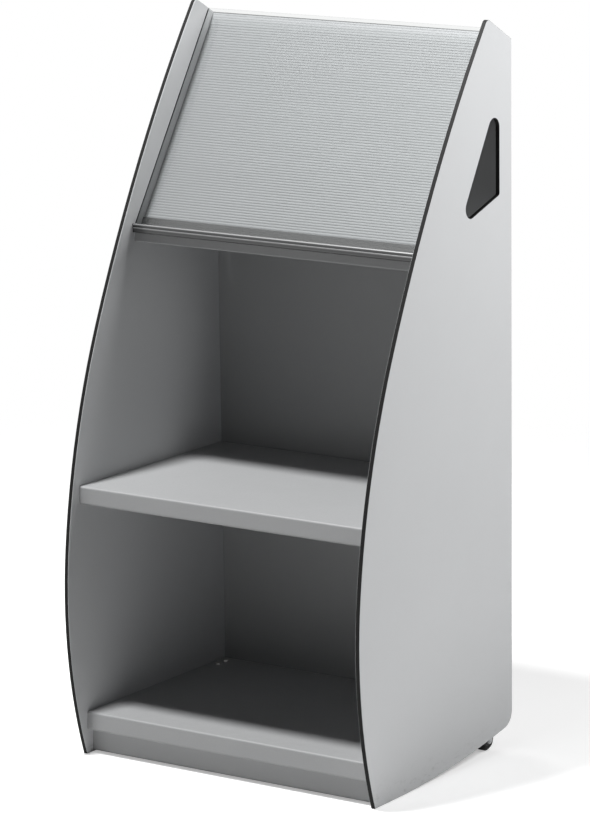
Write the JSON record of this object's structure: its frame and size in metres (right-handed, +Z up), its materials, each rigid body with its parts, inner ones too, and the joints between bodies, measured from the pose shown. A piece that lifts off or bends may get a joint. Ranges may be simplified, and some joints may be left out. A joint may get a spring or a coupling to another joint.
{
  "type": "periodical display rack",
  "caption": "Free-standing two-shelf periodical rack with curved side panels, a sloping display pocket behind a clear cover, hand holes and two tilt-back wheels.",
  "frame": {"origin": "on the floor under the centre of the rack's footprint", "axes": "+X to the rack's right-hand side as seen from its front, +Y to its back, +Z up; the open front faces -Y"},
  "size_m": [0.45, 0.381, 0.966],
  "materials": {
    "laminate": "satin light grey compact laminate with a black core showing at the edges",
    "painted_steel": "fine-textured grey powder coat",
    "ribbed_board": "satin ribbed silver",
    "bright_aluminium": "satin anodised",
    "clear_sheet": "clear acrylic, polished edges",
    "zinc_plate": "zinc plated",
    "nylon": "matt black",
    "tyre_rubber": "matt black",
    "fastener_steel": "zinc plated"
  },
  "bodies": {
    "root": {"side_panel_left": "laminate", "side_panel_right": "laminate", "back_panel": "painted_steel", "middle_shelf": "painted_steel", "bottom_shelf": "painted_steel", "plinth": "painted_steel", "display_tray": "painted_steel", "ribbed_panel": "ribbed_board", "display_ledge": "bright_aluminium", "clear_cover": "clear_sheet", "castor_bracket_left": "zinc_plate", "axle_left": "zinc_plate", "castor_bracket_right": "zinc_plate", "axle_right": "zinc_plate", "middle_shelf_screws": "fastener_steel", "bottom_shelf_screws": "fastener_steel", "plinth_screws": "fastener_steel", "back_panel_screws": "fastener_steel", "display_tray_screws": "fastener_steel", "ledge_rivets": "bright_aluminium", "castor_screws": "fastener_steel", "castor_nuts": "fastener_steel"},
    "wheel_left": {"wheel_hub_left": "nylon", "wheel_tyre_left": "tyre_rubber"},
    "wheel_right": {"wheel_hub_right": "nylon", "wheel_tyre_right": "tyre_rubber"}
  },
  "joints": [
    {"name": "wheel_left_spin", "type": "hinge", "parent": "root", "child": "wheel_left", "pos_m": [-0.207, 0.1465, 0.015], "axis": [1, 0, 0], "continuous": true},
    {"name": "wheel_right_spin", "type": "hinge", "parent": "root", "child": "wheel_right", "pos_m": [0.207, 0.1465, 0.015], "axis": [1, 0, 0], "continuous": true}
  ]
}
